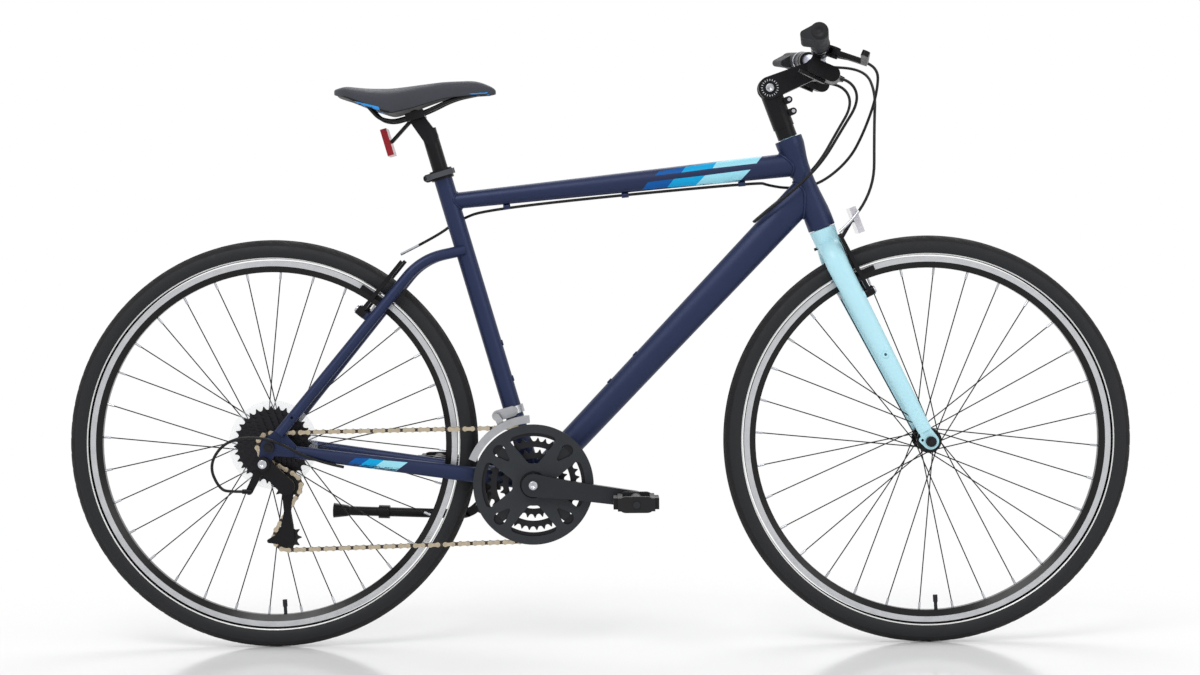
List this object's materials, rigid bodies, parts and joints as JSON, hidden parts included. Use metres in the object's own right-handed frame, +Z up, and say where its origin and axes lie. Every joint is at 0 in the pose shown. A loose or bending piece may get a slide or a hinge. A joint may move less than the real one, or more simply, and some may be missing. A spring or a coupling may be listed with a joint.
{
  "type": "hybrid bike",
  "caption": "Flat-bar hybrid bicycle with rim brakes, derailleur gears, adjustable stem, quick-release seatpost and folding side kickstand.",
  "frame": {"origin": "on the ground, midway between the axles, in the middle plane of the frame", "axes": "+X towards the front wheel, +Y to the rider's left, +Z up"},
  "size_m": [1.826, 0.6236, 1.0411],
  "materials": {
    "frame_paint": "satin navy paint",
    "fork_paint": "gloss pale aqua paint",
    "black_alloy": "satin black anodised",
    "silver_alloy": "brushed silver",
    "grey_alloy": "satin grey",
    "steel": "plated",
    "dark_steel": "black plated",
    "chain_steel": "warm plated",
    "tyre": "matt black with a pale reflective band",
    "rubber": "matt black",
    "black_plastic": "matt black",
    "guard_plastic": "charcoal",
    "saddle_cover": "matt black cover with blue accents",
    "red_lens": "prismatic red",
    "clear_lens": "prismatic clear",
    "cable_housing": "black housing"
  },
  "bodies": {
    "frame": {"head_tube": "frame_paint", "top_tube": "frame_paint", "down_tube": "frame_paint", "seat_tube": "frame_paint", "bottom_bracket_shell": "frame_paint", "chain_stays": "frame_paint", "seat_stays": "frame_paint", "rear_dropouts": "frame_paint", "bearings": "steel", "rear_axle": "steel", "seat_collar": "black_alloy", "front_derailleur_body": "steel", "rear_derailleur_body": "black_alloy", "chain": "chain_steel", "kickstand_bracket": "black_alloy", "frame_cables": "cable_housing", "gear_cable_loop": "cable_housing"},
    "fork": {"fork_crown": "fork_paint", "fork_blades": "fork_paint", "front_axle": "steel", "stem": "black_alloy", "handlebar": "grey_alloy", "grips": "rubber", "lever_brackets": "black_alloy", "front_reflector": "clear_lens", "front_brake_cable": "cable_housing"},
    "front_wheel": {"front_tyre": "tyre", "front_inner_tube": "rubber", "front_rim": "black_alloy", "front_spokes": "dark_steel", "front_hub": "black_alloy"},
    "rear_wheel": {"rear_tyre": "tyre", "rear_inner_tube": "rubber", "rear_rim": "black_alloy", "rear_spokes": "dark_steel", "rear_hub": "black_alloy"},
    "cassette": {"cassette": "dark_steel"},
    "crankset": {"crank_arms": "black_alloy", "chainrings": "dark_steel", "chain_guard": "guard_plastic"},
    "pedal_right": {"pedal_right": "black_plastic"},
    "pedal_left": {"pedal_left": "black_plastic"},
    "derailleur_cage": {"rear_derailleur_cage": "black_alloy"},
    "guide_pulley": {"guide_pulley": "black_plastic"},
    "tension_pulley": {"tension_pulley": "black_plastic"},
    "front_derailleur_cage": {"front_derailleur_cage": "steel"},
    "front_arm_right": {"front_brake_arm_right": "black_alloy"},
    "front_arm_left": {"front_brake_arm_left": "black_alloy"},
    "rear_arm_right": {"rear_brake_arm_right": "black_alloy"},
    "rear_arm_left": {"rear_brake_arm_left": "black_alloy"},
    "brake_lever_right": {"brake_lever_right": "black_alloy"},
    "brake_lever_left": {"brake_lever_left": "black_alloy"},
    "shift_lever_right": {"shift_lever_right": "black_alloy"},
    "shift_lever_left": {"shift_lever_left": "black_alloy"},
    "seat_unit": {"seatpost": "black_alloy", "saddle": "saddle_cover", "saddle_rails": "steel", "rear_reflector": "red_lens"},
    "collar_lever": {"seat_collar_lever": "silver_alloy"},
    "kickstand": {"kickstand_leg": "black_alloy"}
  },
  "joints": [
    {"name": "steering", "type": "hinge", "parent": "frame", "child": "fork", "pos_m": [0.38287, 0, 0.71588], "axis": [-0.3502, 0, 0.9367], "range_deg": [-65, 65], "deforming": ["frame_cables"]},
    {"name": "front_wheel_spin", "type": "hinge", "parent": "fork", "child": "front_wheel", "pos_m": [0.562, 0, 0.351], "axis": [0, 1, 0], "continuous": true},
    {"name": "rear_wheel_spin", "type": "hinge", "parent": "frame", "child": "rear_wheel", "pos_m": [-0.562, 0, 0.351], "axis": [0, 1, 0], "continuous": true},
    {"name": "crank_spin", "type": "hinge", "parent": "frame", "child": "crankset", "pos_m": [-0.11514, 0, 0.283], "axis": [0, 1, 0], "continuous": true, "deforming": ["chain"]},
    {"name": "cassette_spin", "type": "hinge", "parent": "frame", "child": "cassette", "pos_m": [-0.562, 0, 0.351], "axis": [0, 1, 0], "continuous": true, "deforming": ["chain"]},
    {"name": "pedal_right_spin", "type": "hinge", "parent": "crankset", "child": "pedal_right", "pos_m": [0.05815, 0, 0.25865], "axis": [0, 1, 0], "continuous": true},
    {"name": "pedal_left_spin", "type": "hinge", "parent": "crankset", "child": "pedal_left", "pos_m": [-0.28844, 0, 0.30735], "axis": [0, 1, 0], "continuous": true},
    {"name": "cage_swing", "type": "hinge", "parent": "frame", "child": "derailleur_cage", "pos_m": [-0.533, 0, 0.284], "axis": [0, 1, 0], "range_deg": [-12, 30], "stiffness_Nm_per_rad": 0.5, "deforming": ["chain"]},
    {"name": "guide_pulley_spin", "type": "hinge", "parent": "derailleur_cage", "child": "guide_pulley", "pos_m": [-0.533, 0, 0.284], "axis": [0, 1, 0], "continuous": true, "deforming": ["chain"]},
    {"name": "tension_pulley_spin", "type": "hinge", "parent": "derailleur_cage", "child": "tension_pulley", "pos_m": [-0.53535, 0, 0.19603], "axis": [0, 1, 0], "continuous": true, "deforming": ["chain"]},
    {"name": "brake_right_squeeze", "type": "hinge", "parent": "fork", "child": "brake_lever_right", "pos_m": [0.39146, -0.15946, 1.00365], "axis": [-0.4066, -0.0289, -0.9132], "range_deg": [0, 13], "stiffness_Nm_per_rad": 0.6, "deforming": ["frame_cables"]},
    {"name": "brake_left_squeeze", "type": "hinge", "parent": "fork", "child": "brake_lever_left", "pos_m": [0.39146, 0.15946, 1.00365], "axis": [0.4066, -0.0289, 0.9132], "range_deg": [0, 13], "stiffness_Nm_per_rad": 0.6, "deforming": ["front_brake_cable"]},
    {"name": "front_arm_right_swing", "type": "hinge", "parent": "fork", "child": "front_arm_right", "pos_m": [0.43629, -0.04, 0.59446], "axis": [-0.8885, 0, -0.4588], "range_deg": [0, 2.6], "deforming": ["front_brake_cable"]},
    {"name": "front_arm_left_swing", "type": "hinge", "parent": "fork", "child": "front_arm_left", "pos_m": [0.43629, 0.04, 0.59446], "axis": [0.8885, 0, 0.4588], "range_deg": [0, 2.6], "deforming": ["front_brake_cable"]},
    {"name": "rear_arm_right_swing", "type": "hinge", "parent": "frame", "child": "rear_arm_right", "pos_m": [-0.38911, -0.04, 0.56357], "axis": [-0.774, 0, 0.6332], "range_deg": [0, 2.6], "deforming": ["frame_cables"]},
    {"name": "rear_arm_left_swing", "type": "hinge", "parent": "frame", "child": "rear_arm_left", "pos_m": [-0.38911, 0.04, 0.56357], "axis": [0.774, 0, -0.6332], "range_deg": [0, 2.6], "deforming": ["frame_cables"]},
    {"name": "shift_right_push", "type": "hinge", "parent": "fork", "child": "shift_lever_right", "pos_m": [0.374, -0.11241, 0.96328], "axis": [0.4066, 0.0289, 0.9132], "range_deg": [0, 20], "stiffness_Nm_per_rad": 0.2},
    {"name": "shift_left_push", "type": "hinge", "parent": "fork", "child": "shift_lever_left", "pos_m": [0.374, 0.11241, 0.96328], "axis": [-0.4066, 0.0289, -0.9132], "range_deg": [0, 20], "stiffness_Nm_per_rad": 0.2, "deforming": ["chain"]},
    {"name": "front_derailleur_shift", "type": "slide", "parent": "frame", "child": "front_derailleur_cage", "axis": [0, 1, 0], "range_m": [0, 0.014], "deforming": ["chain"]},
    {"name": "seatpost_slide", "type": "slide", "parent": "frame", "child": "seat_unit", "axis": [-0.2807, 0, 0.9598], "range_m": [-0.044, 0.1]},
    {"name": "collar_lever_swing", "type": "hinge", "parent": "frame", "child": "collar_lever", "pos_m": [-0.2945, -0.019, 0.80515], "axis": [0.2807, 0, -0.9598], "range_deg": [0, 140]},
    {"name": "kickstand_swing", "type": "hinge", "parent": "frame", "child": "kickstand", "pos_m": [-0.20514, 0.05, 0.245], "axis": [-0.0503, -0.905, -0.4224], "range_deg": [0, 80]}
  ],
  "couplings": [
    {"joint": "cassette_spin", "follows": "crank_spin", "ratio": 4.3636},
    {"joint": "guide_pulley_spin", "follows": "crank_spin", "ratio": -4.3636},
    {"joint": "tension_pulley_spin", "follows": "crank_spin", "ratio": 4.3636},
    {"joint": "front_arm_right_swing", "follows": "brake_left_squeeze", "ratio": 0.2},
    {"joint": "front_arm_left_swing", "follows": "brake_left_squeeze", "ratio": 0.2},
    {"joint": "rear_arm_right_swing", "follows": "brake_right_squeeze", "ratio": 0.2},
    {"joint": "rear_arm_left_swing", "follows": "brake_right_squeeze", "ratio": 0.2},
    {"joint": "front_derailleur_shift", "follows": "shift_left_push", "m_per_rad": 0.040107}
  ]
}
